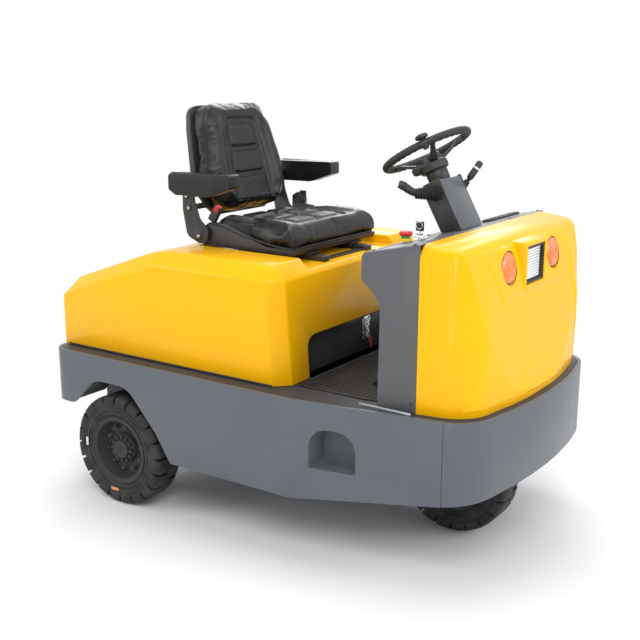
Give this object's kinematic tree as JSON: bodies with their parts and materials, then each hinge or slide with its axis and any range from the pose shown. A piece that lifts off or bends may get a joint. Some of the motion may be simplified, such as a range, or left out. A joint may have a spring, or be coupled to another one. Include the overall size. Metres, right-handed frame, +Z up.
{
  "type": "electric baggage tow tractor",
  "caption": "Low three-wheel electric tow tractor with a skirted chassis, tipping rear hood and seat, upright front cowl and leaning steering wheel.",
  "frame": {"origin": "on the ground under the middle of the overall box", "axes": "+X forward, +Y to the driver's left, +Z up"},
  "size_m": [1.671, 1.05, 1.3511],
  "materials": {
    "amber": "gloss",
    "black": "satin",
    "chrome": "polished",
    "clear": "gloss",
    "dark_grey": "satin",
    "grey": "satin",
    "mat": "matte",
    "red": "gloss",
    "rubber": "matte",
    "silver": "satin",
    "vinyl": "satin",
    "yellow": "gloss"
  },
  "bodies": {
    "chassis": {"right_side_plate": "grey", "left_side_plate": "grey", "front_bumper": "grey", "rear_plate": "grey", "deck_plate": "grey", "floor_mat": "mat", "battery_tray": "black", "battery_block": "dark_grey", "rear_axle": "dark_grey", "drive_motor": "dark_grey", "front_cowl": "yellow", "dash_console": "grey", "dash_top": "silver", "steering_column": "grey", "direction_lever": "black", "brake_lever": "black", "emergency_stop": "red", "key_switch": "black", "headlamp": "clear", "turn_lamp_left": "amber", "turn_lamp_right": "amber", "accelerator_pedal": "black", "brake_pedal": "black", "riser_panel": "dark_grey", "hood_latch": "chrome"},
    "rear_left_wheel": {"rear_left_rim": "dark_grey", "rear_left_tyre": "rubber"},
    "rear_right_wheel": {"rear_right_rim": "dark_grey", "rear_right_tyre": "rubber"},
    "front_steering": {"front_fork": "dark_grey"},
    "front_wheel": {"front_rim": "dark_grey", "front_tyre": "rubber"},
    "steering_wheel": {"steering_wheel": "black"},
    "hood": {"rear_hood": "yellow", "seat_rails": "black"},
    "seat": {"seat_pan": "black", "seat_cushion": "vinyl", "seat_back_shell": "black", "back_cushion": "vinyl", "belt_buckle": "red", "belt_retractor": "black"},
    "left_armrest": {"armrest_left": "vinyl"},
    "right_armrest": {"armrest_right": "vinyl"},
    "hitch_pin": {"hitch_pin": "chrome"}
  },
  "joints": [
    {"name": "rear_left_wheel_spin", "type": "hinge", "parent": "chassis", "child": "rear_left_wheel", "pos_m": [-0.505, 0.455, 0.1925], "axis": [0, 1, 0], "continuous": true},
    {"name": "rear_right_wheel_spin", "type": "hinge", "parent": "chassis", "child": "rear_right_wheel", "pos_m": [-0.505, -0.455, 0.1925], "axis": [0, 1, 0], "continuous": true},
    {"name": "front_steer", "type": "hinge", "parent": "chassis", "child": "front_steering", "pos_m": [0.535, 0, 0.42], "axis": [0, 0, 1], "range_deg": [-75, 75]},
    {"name": "front_wheel_spin", "type": "hinge", "parent": "front_steering", "child": "front_wheel", "pos_m": [0.535, 0, 0.1925], "axis": [0, 1, 0], "continuous": true},
    {"name": "steering_wheel_turn", "type": "hinge", "parent": "chassis", "child": "steering_wheel", "pos_m": [0.383, 0, 1.221], "axis": [-0.4894, 0, 0.8721], "range_deg": [-455, 455]},
    {"name": "hood_open", "type": "hinge", "parent": "chassis", "child": "hood", "pos_m": [-0.786, 0, 0.5203], "axis": [0, -1, 0], "range_deg": [0, 60]},
    {"name": "seat_slide", "type": "slide", "parent": "hood", "child": "seat", "axis": [1, 0, 0], "range_m": [0, 0.1]},
    {"name": "left_armrest_fold", "type": "hinge", "parent": "seat", "child": "left_armrest", "pos_m": [-0.38, 0.264, 1.085], "axis": [0, -1, 0], "range_deg": [0, 85]},
    {"name": "right_armrest_fold", "type": "hinge", "parent": "seat", "child": "right_armrest", "pos_m": [-0.38, -0.264, 1.085], "axis": [0, -1, 0], "range_deg": [0, 85]},
    {"name": "hitch_pin_lift", "type": "slide", "parent": "chassis", "child": "hitch_pin", "axis": [0, 0, 1], "range_m": [0, 0.085]}
  ],
  "couplings": [
    {"joint": "steering_wheel_turn", "follows": "front_steer", "ratio": 6}
  ]
}
